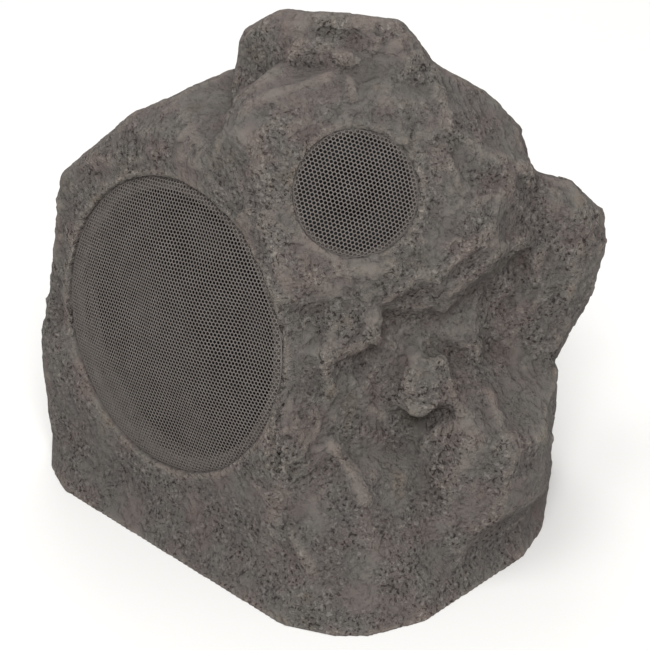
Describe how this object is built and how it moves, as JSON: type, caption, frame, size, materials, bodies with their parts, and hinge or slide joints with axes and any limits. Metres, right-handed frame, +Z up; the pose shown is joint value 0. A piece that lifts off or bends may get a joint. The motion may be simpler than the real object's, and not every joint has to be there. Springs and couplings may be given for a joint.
{
  "type": "rock shaped garden speaker",
  "caption": "Outdoor speaker in a hollow moulded boulder, with a woofer and a tweeter behind round domed grilles.",
  "frame": {"origin": "middle of the rock's box, on the ground under its rim", "axes": "+Z up, -Y towards the front, +X to the right of someone facing the front"},
  "size_m": [0.3647, 0.2781, 0.3276],
  "materials": {
    "stone_resin": "rough",
    "base_plastic": "satin",
    "rubber_seal": "matt",
    "grille_steel": "satin",
    "screw_steel": "plated",
    "basket_steel": "satin",
    "plated_steel": "plated",
    "ferrite": "matt",
    "coil_copper": "enamelled",
    "cone_plastic": "satin",
    "spider_cloth": "matt",
    "dome_silk": "matt",
    "black_plastic": "satin",
    "tag_brass": "plated",
    "board": "satin",
    "capacitor_film": "gloss",
    "ceramic": "matt",
    "lead_plastic": "satin"
  },
  "bodies": {
    "housing": {"rock_shell": "stone_resin", "base_plate": "base_plastic", "base_gasket": "rubber_seal", "cable_grommet": "rubber_seal", "woofer_gasket": "rubber_seal", "tweeter_gasket": "rubber_seal", "woofer_surround": "rubber_seal", "woofer_grille": "grille_steel", "tweeter_grille": "grille_steel", "base_screws": "screw_steel", "woofer_screws": "screw_steel", "tweeter_screws": "screw_steel", "crossover_screws": "screw_steel", "woofer_basket": "basket_steel", "woofer_top_plate": "plated_steel", "woofer_pole_piece": "plated_steel", "tweeter_top_plate": "plated_steel", "tweeter_pole_piece": "plated_steel", "woofer_magnet": "ferrite", "tweeter_magnet": "ferrite", "tweeter_coil": "coil_copper", "inductor_winding": "coil_copper", "woofer_spider": "spider_cloth", "tweeter_dome": "dome_silk", "woofer_surround_ring": "black_plastic", "tweeter_faceplate": "black_plastic", "inductor_bobbin": "black_plastic", "terminal_block": "black_plastic", "crossover_standoffs": "black_plastic", "tweeter_capacitor": "black_plastic", "woofer_terminal": "tag_brass", "tweeter_terminal": "tag_brass", "crossover_board": "board", "woofer_capacitor": "capacitor_film", "crossover_resistor": "ceramic", "woofer_lead": "lead_plastic", "tweeter_lead": "lead_plastic"},
    "cone": {"woofer_cone": "cone_plastic", "woofer_dust_cap": "cone_plastic", "woofer_voice_coil": "coil_copper"}
  },
  "joints": [
    {"name": "cone_travel", "type": "slide", "parent": "housing", "child": "cone", "axis": [-0.4149, -0.8897, 0.1908], "range_m": [-0.005, 0.005], "stiffness_N_per_m": 1200, "deforming": ["woofer_surround", "woofer_spider"]}
  ]
}
